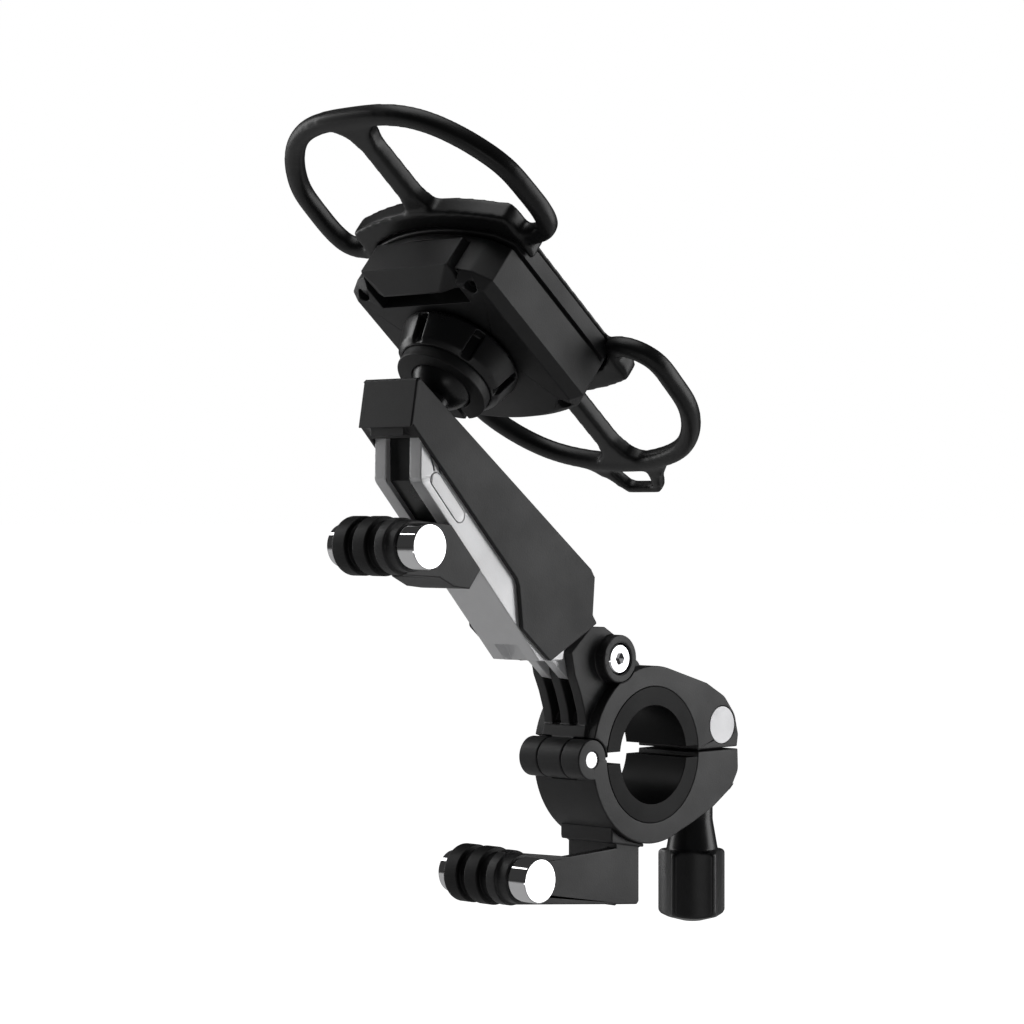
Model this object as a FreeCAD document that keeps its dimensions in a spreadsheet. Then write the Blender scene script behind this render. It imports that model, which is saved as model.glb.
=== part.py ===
import FreeCAD, Part

import math
import os

import Sketcher

# Handlebar phone mount: a hinged bar clamp with a swing bolt, a folding arm with a ball head and a
# silicone phone band, and two ribbed rollers on chrome pins.
#
# Frame: millimetres, +Z up. The origin is the centre of the clamp bore, +Y runs along the handlebar,
# and +X points towards the rider, so the arm leans forward over -X. Rest pose: clamp closed.

SIZES = {
    # clamp
    "bar_diameter": 25.4,
    "sleeve_wall": 4.8,
    "sleeve_gap": 3.0,
    "jaw_wall": 5.35,
    "clamp_width": 21.0,
    "split_gap": 0.6,
    "hinge_outset": 0.25,
    "knuckle_radius": 5.1,
    "knuckle_width": 8.0,
    "knuckle_gap": 0.25,
    "hinge_pin_diameter": 4.1,
    "lug_reach": 11.05,
    "barrel_outset": 4.35,
    "barrel_height": 6.3,
    "barrel_diameter": 9.7,
    "swing_bolt_diameter": 5.0,
    "swing_slot_width": 7.0,
    "seat_depth": 9.0,
    # knob
    "knob_drop": 13.5,
    "knob_neck_radius": 5.5,
    "knob_skirt_radius": 6.9,
    "knob_radius": 9.2,
    "knob_neck_length": 13.8,
    "knob_length": 17.3,
    "knob_dome": 1.6,
    "knob_flat_distance": 7.0,
    "knob_flute_radius": 14.0,
    "knob_flutes": 5,
    # arm pivot
    "pivot_forward": 12.7,
    "pivot_rise": 2.25,
    "prong_thickness": 3.0,
    "prong_gap": 2.9,
    "tongue_radius": 7.0,
    "pivot_bolt_diameter": 4.0,
    "pivot_head_diameter": 7.6,
    "pivot_boss_radius": 6.1,
    "pivot_boss_height": 3.2,
    # arm
    "cover_width": 18.6,
    "cover_wall": 1.15,
    "cover_top_wall": 1.6,
    "core_width": 16.2,
    "core_channel": 8.2,
    "core_channel_depth": 6.0,
    "bar_recess": 1.2,
    "oval_length": 15.0,
    "oval_width": 3.4,
    "oval_travel": 0.8,
    # rollers
    "roller_pin_diameter": 11.0,
    "roller_shaft_diameter": 5.0,
    "roller_rib_radius": 7.2,
    "roller_floor_radius": 5.9,
    "roller_rib_width": 4.4,
    "roller_end_width": 5.0,
    "roller_groove_width": 2.6,
    "pin_collar_radius": 6.1,
    "pin_collar_height": 3.1,
    "pin_reach": 8.9,
    "cheek_face": 9.0,
    "cheek_thickness": 3.3,
    "cheek_radius": 6.8,
    # ball joint
    "ball_diameter": 17.0,
    "ball_drop": 8.4,
    "ball_height": 12.1,
    "stud_neck_radius": 4.0,
    "liner_wall": 0.9,
    "collet_radius": 12.0,
    "collet_reach": 12.0,
    "lock_ring_radius": 15.8,
    "lock_ring_taper": 2.0,
    "lock_ring_height": 8.8,
    "lock_ring_lobes": 6,
    # head
    "head_tilt": 39.7,
    "head_length": 55.0,
    "head_width": 48.6,
    "housing_height": 12.8,
    "housing_wall": 2.2,
    "groove_gap": 1.3,
    "plate_height": 4.2,
    "screw_spacing_long": 41.8,
    "screw_spacing_wide": 37.4,
    "screw_hole_radius": 1.7,
    "button_width": 30.0,
    "button_travel": 2.0,
    # silicone band
    "band_strand": 4.8,
    "band_half_length": 62.8,
    "band_half_width": 36.2,
    "band_sheet": 1.4,
    "tab_length": 10.8,
    "tab_half_width": 6.2,
    # fits
    "running_clearance": 0.05,
    "seat_clearance": 0.02,
    "open_clearance": 0.3,
}

doc = FreeCAD.newDocument("phone_mount")
sheet = doc.addObject("Spreadsheet::Sheet", "dims")
for row, (alias, number) in enumerate(SIZES.items(), start=1):
    sheet.set(f"A{row}", alias)
    sheet.set(f"B{row}", str(number))
    sheet.setAlias(f"B{row}", alias)
doc.recompute()


class Size:
    """A number together with the sheet formula that gives it."""

    def __init__(self, value, formula):
        self.value = float(value)
        self.formula = formula

    def __add__(self, other):
        other = as_size(other)
        return Size(self.value + other.value, f"({self.formula} + {other.formula})")

    def __radd__(self, other):
        return as_size(other) + self

    def __sub__(self, other):
        other = as_size(other)
        return Size(self.value - other.value, f"({self.formula} - {other.formula})")

    def __rsub__(self, other):
        return as_size(other) - self

    def __mul__(self, other):
        other = as_size(other)
        return Size(self.value * other.value, f"({self.formula} * {other.formula})")

    def __rmul__(self, other):
        return as_size(other) * self

    def __truediv__(self, other):
        other = as_size(other)
        return Size(self.value / other.value, f"({self.formula} / {other.formula})")

    def __neg__(self):
        return Size(-self.value, f"(0 - {self.formula})")


def as_size(number):
    """Give a Size for a Size or a plain number."""
    if isinstance(number, Size):
        return number
    if number < 0:
        return Size(number, f"(0 - {abs(number)})")
    return Size(number, f"{number}")


def dim(name):
    """Give the driving dimension of that name."""
    return Size(sheet.get(name), f"dims.{name}")


def root(size):
    """Give the square root of a Size."""
    return Size(math.sqrt(size.value), f"sqrt({size.formula})")


def cosine(size):
    """Give the cosine of an angle in degrees."""
    return Size(math.cos(math.radians(size.value)), f"cos({size.formula})")


def sine(size):
    """Give the sine of an angle in degrees."""
    return Size(math.sin(math.radians(size.value)), f"sin({size.formula})")


def bind(item, name, size):
    """Set a property of an object to a Size and keep it tied to the sheet."""
    size = as_size(size)
    item.setExpression(name, size.formula)


nodes = {}


class Piece:
    """One PartDesign body, grown and cut by prisms and turned profiles."""

    def __init__(self, label):
        self.body = doc.addObject("PartDesign::Body", label)
        self.body.Label = label
        self.count = 0
        nodes[label] = self.body

    def sketch(self, role, offset):
        """Attach a new sketch to an origin plane, moved along the plane's normal."""
        self.count += 1
        plane = [item for item in self.body.Origin.OriginFeatures if item.Role == role][0]
        sketch = self.body.newObject("Sketcher::SketchObject", f"{self.body.Name}_sketch{self.count}")
        sketch.AttachmentSupport = [(plane, "")]
        sketch.MapMode = "FlatFace"
        offset = as_size(offset)
        sketch.AttachmentOffset = FreeCAD.Placement(FreeCAD.Vector(0, 0, offset.value), FreeCAD.Rotation())
        bind(sketch, "AttachmentOffset.Base.z", offset)
        return sketch

    def prism(self, kind, role, loops, low, high):
        """Add or cut a prism of the loops between two places along the plane's axis."""
        low, high = as_size(low), as_size(high)
        start = -high if role == "XZ_Plane" else low
        sketch = self.sketch(role, start)
        for loop in loops:
            loop(sketch)
        before = self.volume()
        feature = self.body.newObject(f"PartDesign::{kind}", f"{self.body.Name}_{kind}{self.count}")
        feature.Profile = sketch
        bind(feature, "Length", high - low)
        feature.Length = (high - low).value
        feature.Reversed = kind == "Pocket"
        doc.recompute()
        after = self.volume()
        changed = after < before - 1e-6 if kind == "Pocket" else after > before + 1e-6
        if not changed:
            raise RuntimeError(f"{self.body.Label}: {feature.Name} changes nothing")
        return feature

    def add(self, role, loops, low, high):
        """Add a prism."""
        return self.prism("Pad", role, loops, low, high)

    def cut(self, role, loops, low, high):
        """Cut a prism."""
        return self.prism("Pocket", role, loops, low, high)

    def turn(self, kind, points):
        """Add (Revolution) or cut (Groove) a profile of radius and height turned about Z."""
        sketch = self.sketch("XZ_Plane", 0)
        outline(points)(sketch)
        before = self.volume()
        feature = self.body.newObject(f"PartDesign::{kind}", f"{self.body.Name}_{kind}{self.count}")
        feature.Profile = sketch
        feature.ReferenceAxis = (sketch, ["V_Axis"])
        feature.Angle = 360.0
        doc.recompute()
        after = self.volume()
        changed = after < before - 1e-6 if kind == "Groove" else after > before + 1e-6
        if not changed:
            raise RuntimeError(f"{self.body.Label}: {feature.Name} changes nothing")
        return feature

    def around(self, feature, number):
        """Repeat a feature evenly about Z."""
        pattern = self.body.newObject("PartDesign::PolarPattern", f"{self.body.Name}_pattern{self.count}")
        axis = [item for item in self.body.Origin.OriginFeatures if item.Role == "Z_Axis"][0]
        pattern.Originals = [feature]
        pattern.Axis = (axis, [""])
        pattern.Angle = 360.0
        pattern.Occurrences = int(round(number.value))
        self.body.Tip = pattern
        doc.recompute()

    def volume(self):
        """Give the volume of the body so far."""
        shape = self.body.Shape
        return 0.0 if shape.isNull() else shape.Volume

    def soften(self, kind, chosen, size):
        """Fillet or chamfer the edges that the test chooses."""
        tip = self.body.Tip
        names = [f"Edge{i + 1}" for i, edge in enumerate(tip.Shape.Edges) if chosen(edge)]
        if not names:
            raise RuntimeError(f"{self.body.Label}: no edge to soften")
        self.count += 1
        feature = self.body.newObject(f"PartDesign::{kind}", f"{self.body.Name}_{kind}{self.count}")
        feature.Base = (tip, names)
        size = as_size(size)
        name = "Radius" if kind == "Fillet" else "Size"
        setattr(feature, name, size.value)
        bind(feature, name, size)
        doc.recompute()

    def place(self, x=0, y=0, z=0, rotation=None):
        """Put the body in the row frame."""
        rotation = rotation or FreeCAD.Rotation()
        put(self.body, x, y, z, rotation)


def put(item, x, y, z, rotation):
    """Give an object its place, tied to the sheet."""
    sizes = [as_size(value) for value in (x, y, z)]
    item.Placement = FreeCAD.Placement(FreeCAD.Vector(*[size.value for size in sizes]), rotation)
    for axis, size in zip("xyz", sizes):
        bind(item, f"Placement.Base.{axis}", size)


def arc_segment(first, last, radius):
    """Give the short arc between two points; a positive radius turns to the left."""
    chord = last.sub(first)
    half = chord.Length / 2
    rise = math.sqrt(max(radius * radius - half * half, 0.0))
    left = FreeCAD.Vector(-chord.y, chord.x, 0).normalize()
    centre = first + chord * 0.5 + left * (rise if radius > 0 else -rise)
    angles = [math.atan2(point.y - centre.y, point.x - centre.x) for point in (first, last)]
    circle = Part.Circle(centre, FreeCAD.Vector(0, 0, 1), abs(radius))
    if radius > 0:
        return Part.ArcOfCircle(circle, angles[0], angles[1]), 1, 2
    return Part.ArcOfCircle(circle, angles[1], angles[0]), 2, 1


def outline(points):
    """Give a drawer of a closed loop; a third entry is the radius of the arc that ends there."""

    def draw(sketch):
        corners = [(as_size(point[0]), as_size(point[1])) for point in points]
        places = [FreeCAD.Vector(x.value, y.value, 0) for x, y in corners]
        ends = []
        for i, point in enumerate(points):
            first, last = places[i - 1], places[i]
            if len(point) == 3:
                radius = as_size(point[2])
                segment, start, end = arc_segment(first, last, radius.value)
                index = sketch.addGeometry(segment, False)
                size = radius if radius.value > 0 else -radius
                rule = sketch.addConstraint(Sketcher.Constraint("Radius", index, size.value))
                sketch.setExpression(f"Constraints[{rule}]", size.formula)
            else:
                index = sketch.addGeometry(Part.LineSegment(first, last), False)
                start, end = 1, 2
            ends.append((index, start, end))
        for i, (index, start, end) in enumerate(ends):
            before = ends[i - 1]
            sketch.addConstraint(Sketcher.Constraint("Coincident", before[0], before[2], index, start))
            for kind, size in zip(("DistanceX", "DistanceY"), corners[i]):
                rule = sketch.addConstraint(Sketcher.Constraint(kind, -1, 1, index, end, size.value))
                sketch.setExpression(f"Constraints[{rule}]", size.formula)

    return draw


def circle(x, y, radius):
    """Give a drawer of a circle."""
    x, y, radius = as_size(x), as_size(y), as_size(radius)

    def draw(sketch):
        centre = FreeCAD.Vector(x.value, y.value, 0)
        index = sketch.addGeometry(Part.Circle(centre, FreeCAD.Vector(0, 0, 1), radius.value), False)
        rules = (("DistanceX", x), ("DistanceY", y))
        for kind, size in rules:
            rule = sketch.addConstraint(Sketcher.Constraint(kind, -1, 1, index, 3, size.value))
            sketch.setExpression(f"Constraints[{rule}]", size.formula)
        rule = sketch.addConstraint(Sketcher.Constraint("Radius", index, radius.value))
        sketch.setExpression(f"Constraints[{rule}]", radius.formula)

    return draw


def box_loop(x_low, x_high, y_low, y_high):
    """Give a drawer of an upright rectangle."""
    return outline([(x_high, y_low), (x_high, y_high), (x_low, y_high), (x_low, y_low)])


def hexagon(x, y, across_flats):
    """Give a drawer of a hexagon with two flats along the first direction."""
    x, y = as_size(x), as_size(y)
    reach = as_size(across_flats) / math.sqrt(3)
    corners = []
    for step in range(6):
        angle = math.radians(60 * step)
        corners.append((x + reach * math.cos(angle), y + reach * math.sin(angle)))
    return outline(corners)


def near_line(x, y):
    """Give a test for straight edges along Y that pass the place x, z."""
    x, y = as_size(x).value, as_size(y).value

    def chosen(edge):
        ends = [vertex.Point for vertex in edge.Vertexes]
        if len(ends) != 2:
            return False
        return all(abs(end.x - x) < 0.02 and abs(end.z - y) < 0.02 for end in ends)

    return chosen


def any_of(*tests):
    """Join edge tests."""
    return lambda edge: any(test(edge) for test in tests)


ALONG_Y = FreeCAD.Rotation(FreeCAD.Vector(1, 0, 0), -90)

fit = dim("running_clearance")
seat = dim("seat_clearance")
gap = dim("open_clearance")

# Places that several pieces share.
bore = dim("bar_diameter") / 2
sleeve_outer = bore + dim("sleeve_wall")
ring = sleeve_outer + dim("jaw_wall")
half_clamp = dim("clamp_width") / 2
half_split = dim("split_gap") / 2
hinge_x = -(ring + dim("hinge_outset"))
lug_x = ring + dim("lug_reach")
barrel_x = ring + dim("barrel_outset")
barrel_z = dim("barrel_height")
half_slot = dim("swing_slot_width") / 2
bolt_radius = dim("swing_bolt_diameter") / 2
neck_top = -(dim("knob_drop") + barrel_z)
shoulder = neck_top - dim("knob_neck_length")
foot = shoulder - dim("knob_length")
pivot_x = -dim("pivot_forward")
pivot_z = ring + dim("pivot_rise")
prong = dim("prong_thickness")
pitch = prong + dim("prong_gap")
prongs_half = pitch + prong / 2
boss_end = prongs_half + dim("pivot_boss_height")
core_half = dim("core_width") / 2
cover_half = dim("cover_width") / 2
channel_half = dim("core_channel") / 2
cheek_face = dim("cheek_face")
cheek_back = cheek_face - dim("cheek_thickness")
post_x = as_size(-8.0)
lower_roller = (as_size(-49.7), as_size(-27.4))


def from_pivot(x, z):
    """Give the place that lies x, z from the arm pivot."""
    return pivot_x + x, pivot_z + z


upper_roller = from_pivot(-74.3, 29.2)

# The arm's lower edge climbs forward from the core's tip at core_slope.
core_tip = from_pivot(-27.2, 0.3)
core_slope = as_size(47.5)
edge_x, edge_z = cosine(core_slope), sine(core_slope)

# The cover's top line runs from the cap down to the heel.
cap_top = from_pivot(-70.1, 69.9)
heel_top = from_pivot(-9.3, 22.9)
top_slope = as_size(37.7)
top_x, top_z = cosine(top_slope), sine(top_slope)

# Ball centre, above the cover's top line; the head frame lies above the ball.
stud_foot = (cap_top[0] + top_x * 14.6, cap_top[1] - top_z * 14.6)
ball_x = stud_foot[0] + top_z * dim("ball_height")
ball_z = stud_foot[1] + top_x * dim("ball_height")
ball_radius = dim("ball_diameter") / 2
head_x = ball_x + sine(dim("head_tilt")) * dim("ball_drop")
head_z = ball_z + cosine(dim("head_tilt")) * dim("ball_drop")
HEAD_TURN = FreeCAD.Rotation(FreeCAD.Vector(0, 1, 0), sheet.get("head_tilt"))


def on_core(along, depth):
    """Give the place so far up the core's lower edge and so deep inside it."""
    along, depth = as_size(along), as_size(depth)
    return (core_tip[0] - edge_x * along + edge_z * depth, core_tip[1] + edge_z * along + edge_x * depth)


def under_top(along, depth):
    """Give the place so far down the cover's top line and so deep below it."""
    along, depth = as_size(along), as_size(depth)
    return (cap_top[0] + top_x * along - top_z * depth, cap_top[1] - top_z * along - top_x * depth)


def through(piece, loops, margin=1):
    """Cut loops along Y through the whole clamp width and a margin."""
    piece.cut("XZ_Plane", loops, -(half_clamp + margin), half_clamp + margin)


# ---------------------------------------------------------------- clamp


def build_upper_jaw():
    """Upper jaw: half ring, bolt lug, middle hinge knuckle and the three prongs of the arm pivot."""
    jaw = Piece("upper_jaw")
    tangent = as_size(74)
    jaw.add("XZ_Plane", [circle(0, 0, ring)], -half_clamp, half_clamp)
    jaw.add("XZ_Plane", [outline([
        (lug_x - 0.5, half_split), (lug_x, 3.5), (ring + 9.65, 8.9), (ring + 5.55, 13.8), (ring - 1.65, 17.6),
        (ring * cosine(tangent), ring * sine(tangent)), (0, half_split),
    ])], -half_clamp, half_clamp)
    jaw.soften("Fillet", any_of(near_line(ring + 9.65, 8.9), near_line(ring + 5.55, 13.8)), 5.0)
    jaw.add("XZ_Plane", [outline([
        from_pivot(-9.4, -16.6), from_pivot(-10.4, -20.5), (-(sleeve_outer - 2.5), 4.5), (-6, ring - 6),
    ])], -prongs_half, prongs_half)
    for step in (-1, 0, 1):
        middle = pitch * step
        jaw.add("XZ_Plane", [outline([
            from_pivot(-14.8, 1.9), from_pivot(-13.5, -3.9), from_pivot(-11.5, -8.3), from_pivot(-9.9, -13.1),
            from_pivot(-9.3, -16.7), (-(sleeve_outer - 2.5), 6.0), (0, ring - 2), from_pivot(10.5, -1.3),
            from_pivot(5.3, 2.7), from_pivot(1.9, 5.7), from_pivot(-2.3, 8.1), from_pivot(-7.3, 8.3),
        ])], middle - prong / 2, middle + prong / 2)
    for side in (-1, 1):
        low, high = pitch / 2 * side - dim("prong_gap") / 2, pitch / 2 * side + dim("prong_gap") / 2
        jaw.cut("XZ_Plane", [circle(pivot_x, pivot_z, dim("tongue_radius") + 0.35)], low, high)
        jaw.cut("XZ_Plane", [outline([
            from_pivot(4.35, -5.99), from_pivot(0, 3), from_pivot(-15, 3), from_pivot(-13.6, -14.6),
            from_pivot(-8.12, -11.96),
        ])], low, high)
    for low, high in ((-boss_end, -prongs_half), (prongs_half, boss_end)):
        jaw.add("XZ_Plane", [circle(pivot_x, pivot_z, dim("pivot_boss_radius"))], low, high)
    through(jaw, [box_loop(-(ring + 12), lug_x + 5, -(ring + 5), half_split)])
    through(jaw, [circle(0, 0, sleeve_outer + seat)])
    side = dim("knuckle_width") / 2
    room = dim("knuckle_radius") + gap
    for low, high in ((-half_clamp - 1, -side), (side, half_clamp + 1)):
        jaw.cut("XZ_Plane", [circle(hinge_x, 0, room)], low, high)
    jaw.add("XZ_Plane", [circle(hinge_x, 0, dim("knuckle_radius"))], -side, side)
    through(jaw, [circle(hinge_x, 0, dim("hinge_pin_diameter") / 2 + seat)])
    through(jaw, [circle(barrel_x, barrel_z, dim("barrel_diameter") / 2 + fit)])
    swing = box_loop(barrel_x - half_slot, lug_x + 5, -1, barrel_z + half_slot)
    jaw.cut("XZ_Plane", [swing], -half_slot, half_slot)
    shank = circle(pivot_x, pivot_z, dim("pivot_bolt_diameter") / 2 + seat)
    through(jaw, [shank])
    head_room = circle(pivot_x, pivot_z, dim("pivot_head_diameter") / 2 + 0.35)
    jaw.cut("XZ_Plane", [head_room], -boss_end - 1, -(boss_end - 3.0))
    jaw.cut("XZ_Plane", [hexagon(pivot_x, pivot_z, 7.05)], boss_end - 3.0, boss_end + 1)


def build_lower_jaw():
    """Lower jaw: half ring, open bolt lug with the knob's seat and the two outer hinge knuckles."""
    jaw = Piece("lower_jaw")
    tangent = as_size(76.3)
    jaw.add("XZ_Plane", [circle(0, 0, ring)], -half_clamp, half_clamp)
    jaw.add("XZ_Plane", [outline([
        (ring * cosine(tangent), -(ring * sine(tangent))), (ring - 7.95, -18.8), (ring + 1.05, -15.0),
        (ring + 8.25, -10.5), (lug_x, -6.0), (lug_x - 0.2, -half_split), (0, -half_split),
    ])], -half_clamp, half_clamp)
    jaw.soften("Fillet", any_of(near_line(ring + 8.25, -10.5), near_line(lug_x, -6.0)), 3.5)
    through(jaw, [box_loop(-(ring + 12), lug_x + 5, -half_split, ring + 5)])
    side = dim("knuckle_width") / 2 + dim("knuckle_gap")
    room = circle(hinge_x, 0, dim("knuckle_radius") + gap)
    jaw.cut("XZ_Plane", [room], -side, side)
    for low, high in ((-half_clamp, -side), (side, half_clamp)):
        jaw.add("XZ_Plane", [circle(hinge_x, 0, dim("knuckle_radius"))], low, high)
    through(jaw, [circle(0, 0, sleeve_outer + seat)])
    through(jaw, [circle(hinge_x, 0, dim("hinge_pin_diameter") / 2 + fit)])
    swing = box_loop(barrel_x - half_slot, lug_x + 5, -(ring + 5), 0)
    jaw.cut("XZ_Plane", [swing], -half_slot, half_slot)
    pocket_half = dim("knob_neck_radius") + 0.8
    pocket = box_loop(barrel_x - pocket_half, lug_x + 5, -(ring + 5), -dim("seat_depth"))
    jaw.cut("XZ_Plane", [pocket], -pocket_half, pocket_half)
    under_barrel = circle(barrel_x, barrel_z, dim("barrel_diameter") / 2 + fit)
    if barrel_z.value - dim("barrel_diameter").value / 2 < 0:
        through(jaw, [under_barrel])
    jaw.cut("XY_Plane", [circle(post_x, 0, 1.6 + seat)], -(ring + 2), -8)
    jaw.cut("XY_Plane", [circle(post_x, 0, 2.9)], -(sleeve_outer + 2.3), -8)


def build_sleeves():
    """Rubber sleeve halves that line the jaws."""
    edge = dim("sleeve_gap") / 2
    far = ring + 5
    for label, span in (("sleeve_upper", (-far, edge)), ("sleeve_lower", (-edge, far))):
        sleeve = Piece(label)
        sleeve.add("XZ_Plane", [circle(0, 0, sleeve_outer), circle(0, 0, bore)], -half_clamp, half_clamp)
        through(sleeve, [box_loop(-far, far, *span)])


def build_clamp_hardware():
    """Hinge pin, barrel pin and swing bolt."""
    pin = Piece("hinge_pin")
    reach = half_clamp - 0.3
    pin.add("XZ_Plane", [circle(hinge_x, 0, dim("hinge_pin_diameter") / 2)], -reach, reach)
    barrel = Piece("barrel_pin")
    barrel.add("XZ_Plane", [circle(0, 0, dim("barrel_diameter") / 2)], -half_clamp, half_clamp)
    barrel.cut("XY_Plane", [circle(0, 0, bolt_radius + seat)], -8, 2.5)
    barrel.place(barrel_x, 0, barrel_z)
    rod = Piece("swing_bolt")
    rod.turn("Revolution", [(0, 2.4), (0, foot + 6), (bolt_radius, foot + 6), (bolt_radius, 2.4)])
    rod.place(barrel_x, 0, barrel_z)


def build_knob():
    """Fluted clamp knob with a brass insert that runs on the swing bolt."""
    knob = Piece("clamp_knob")
    neck, skirt, grip = dim("knob_neck_radius"), dim("knob_skirt_radius"), dim("knob_radius")
    insert_radius = as_size(3.9)
    deep = foot + 5
    knob.turn("Revolution", [
        (insert_radius + seat, neck_top), (insert_radius + seat, deep), (0, deep),
        (0, foot - dim("knob_dome")), (2.5, foot - dim("knob_dome")), (grip - 0.8, foot), (grip, foot + 0.8), (grip, shoulder - 0.8),
        (grip - 0.8, shoulder), (skirt, shoulder), (neck, shoulder + 8), (neck, neck_top - 0.9),
        (neck - 0.9, neck_top),
    ])
    distance = dim("knob_flat_distance") + dim("knob_flute_radius")
    angle = math.radians(-135)
    flute = knob.cut("XY_Plane", [
        circle(distance * math.cos(angle), distance * math.sin(angle), dim("knob_flute_radius")),
    ], foot - 3, shoulder + 3.5)
    knob.around(flute, dim("knob_flutes"))
    knob.place(barrel_x, 0, barrel_z)
    insert = Piece("knob_insert")
    hole = bolt_radius + fit
    insert.turn("Revolution", [
        (hole, neck_top - 0.1), (hole, deep + 0.1), (insert_radius, deep + 0.1), (insert_radius, neck_top - 0.1),
    ])
    insert.place(barrel_x, 0, barrel_z)


def build_pivot_hardware():
    """Socket-head bolt and nut of the arm pivot."""
    bolt = Piece("pivot_bolt")
    shank, head = dim("pivot_bolt_diameter") / 2, dim("pivot_head_diameter") / 2
    head_seat = boss_end - 3.0
    bolt.turn("Revolution", [
        (0, -(boss_end - 0.2)), (head - 0.35, -(boss_end - 0.2)), (head, -(boss_end - 0.55)),
        (head, -head_seat), (shank, -head_seat), (shank, boss_end - 0.4), (0, boss_end - 0.4),
    ])
    bolt.cut("XY_Plane", [hexagon(0, 0, 3.0)], -boss_end - 1, -(boss_end - 2.0))
    bolt.place(pivot_x, 0, pivot_z, ALONG_Y)
    nut = Piece("pivot_nut")
    nut.add("XY_Plane", [hexagon(0, 0, 7.0), circle(0, 0, shank + seat)], head_seat, boss_end - 0.3)
    nut.place(pivot_x, 0, pivot_z, ALONG_Y)


# ---------------------------------------------------------------- rollers


def build_roller(prefix, place):
    """Ribbed rubber roller and its chrome pin; the pin's tail shows beyond the roller."""
    shaft = dim("roller_shaft_diameter") / 2
    rib, floor = dim("roller_rib_radius"), dim("roller_floor_radius")
    groove = dim("roller_groove_width")
    start = -cheek_back + 0.15
    marks = [start, start + groove]
    for width in (dim("roller_rib_width"), groove, dim("roller_end_width")):
        marks.append(marks[-1] + width)
    hub = shaft + fit
    roller = Piece(f"{prefix}_roller")
    roller.turn("Revolution", [
        (hub, marks[0]), (floor, marks[0]), (floor, marks[1]), (rib, marks[1]), (rib, marks[2]),
        (floor, marks[2]), (floor, marks[3]), (rib, marks[3]), (rib, marks[4] - 0.6), (rib - 0.6, marks[4]),
        (hub, marks[4]),
    ])
    roller.place(place[0], 0, place[1], ALONG_Y)
    end = marks[4]
    pin = Piece(f"{prefix}_roller_pin")
    radius = dim("roller_pin_diameter") / 2
    near = -(cheek_face + dim("pin_reach"))
    step = -(cheek_face - 1.6)
    body = radius - 0.3
    shoulder_y = -(cheek_face + dim("pin_collar_height") + 0.05)
    pin.turn("Revolution", [
        (0, near), (radius - 0.3, near), (radius, near + 0.3), (radius, shoulder_y), (body, shoulder_y),
        (body, step), (shaft, step),
        (shaft, end + 3.0), (0, end + 3.0),
    ])
    pin.place(place[0], 0, place[1], ALONG_Y)
    cap = Piece(f"{prefix}_roller_cap")
    cap.turn("Revolution", [
        (shaft + seat, end + 0.15), (body, end + 0.15), (body, end + 3.3), (body - 0.4, end + 3.7),
        (0, end + 3.7), (0, end + 3.05), (shaft + seat, end + 3.05),
    ])
    cap.place(place[0], 0, place[1], ALONG_Y)


def bore_cheek(piece, place):
    """Give a cheek its raised collar and the stepped seat of a roller pin."""
    face = -(cheek_face + dim("pin_collar_height"))
    piece.add("XZ_Plane", [circle(*place, dim("pin_collar_radius"))], face, -cheek_face + 0.5)
    radius = dim("roller_pin_diameter") / 2 - 0.3
    piece.cut("XZ_Plane", [circle(*place, radius + seat)], face - 1, -(cheek_face - 1.6))
    shaft = dim("roller_shaft_diameter") / 2
    piece.cut("XZ_Plane", [circle(*place, shaft + seat)], face - 1, -cheek_back + 1)


def build_lower_arm():
    """Fixed arm under the clamp: a post that saddles the lower jaw and a plate for the lower roller."""
    arm = Piece("lower_arm")
    x, z = lower_roller
    tip = post_x + 4.4
    arm.add("XZ_Plane", [outline([
        (x - 1.2, z - 6.5), (tip - 0.8, z - 10.8), (tip, z - 10.0), (tip, z + 4), (post_x - 4.0, z + 4.2),
        (x + 20.1, z + 3.5), (x - 2.4, z + 6.5),
    ])], -cheek_face + 0.2, -cheek_back)
    arm.add("XZ_Plane", [circle(x, z, dim("cheek_radius"))], -cheek_face + 0.2, -cheek_back)
    post_low = post_x - 4.4
    arm.add("XZ_Plane", [outline([
        (post_low, z - 10.1), (tip - 0.8, z - 10.8), (tip, z - 10.0), (tip, -sleeve_outer),
        (post_low, -sleeve_outer),
    ])], -cheek_face + 0.2, cheek_face - 1)
    arm.add("XZ_Plane", [outline([
        (post_x - 6.2, -(ring - 2.0)), (post_x - 6.0, -(ring - 1.1)), (post_x + 6.0, -(ring + 0.85)),
        (post_x + 6.2, -sleeve_outer), (post_x - 6.2, -sleeve_outer),
    ])], -cheek_face, cheek_face)
    through(arm, [circle(0, 0, ring + seat)])
    bore_cheek(arm, lower_roller)
    arm.cut("XY_Plane", [circle(post_x, 0, 1.6 + seat)], z - 4, -(sleeve_outer - 1))
    screw = Piece("lower_arm_screw")
    head = -(sleeve_outer + 2.3)
    screw.turn("Revolution", [
        (0, head + 1.6), (0, z - 3.8), (1.6, z - 3.8), (1.6, head), (2.8, head), (2.8, head + 1.2),
        (2.4, head + 1.6),
    ])
    screw.place(post_x, 0, 0)


# ---------------------------------------------------------------- arm


def oval_loop(margin):
    """Give a drawer of the oval button's outline, grown by a margin."""
    half_length = dim("oval_length") / 2
    radius = dim("oval_width") / 2 + margin
    straight = half_length - dim("oval_width") / 2
    middle, depth = as_size(51.3), as_size(3.9)
    curve = -(radius * 1.0001)
    low, high = middle - straight, middle + straight
    return outline([
        on_core(low, depth - radius), on_core(low, depth + radius) + (-curve,),
        on_core(high, depth + radius), on_core(high, depth - radius) + (-curve,),
    ])


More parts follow.
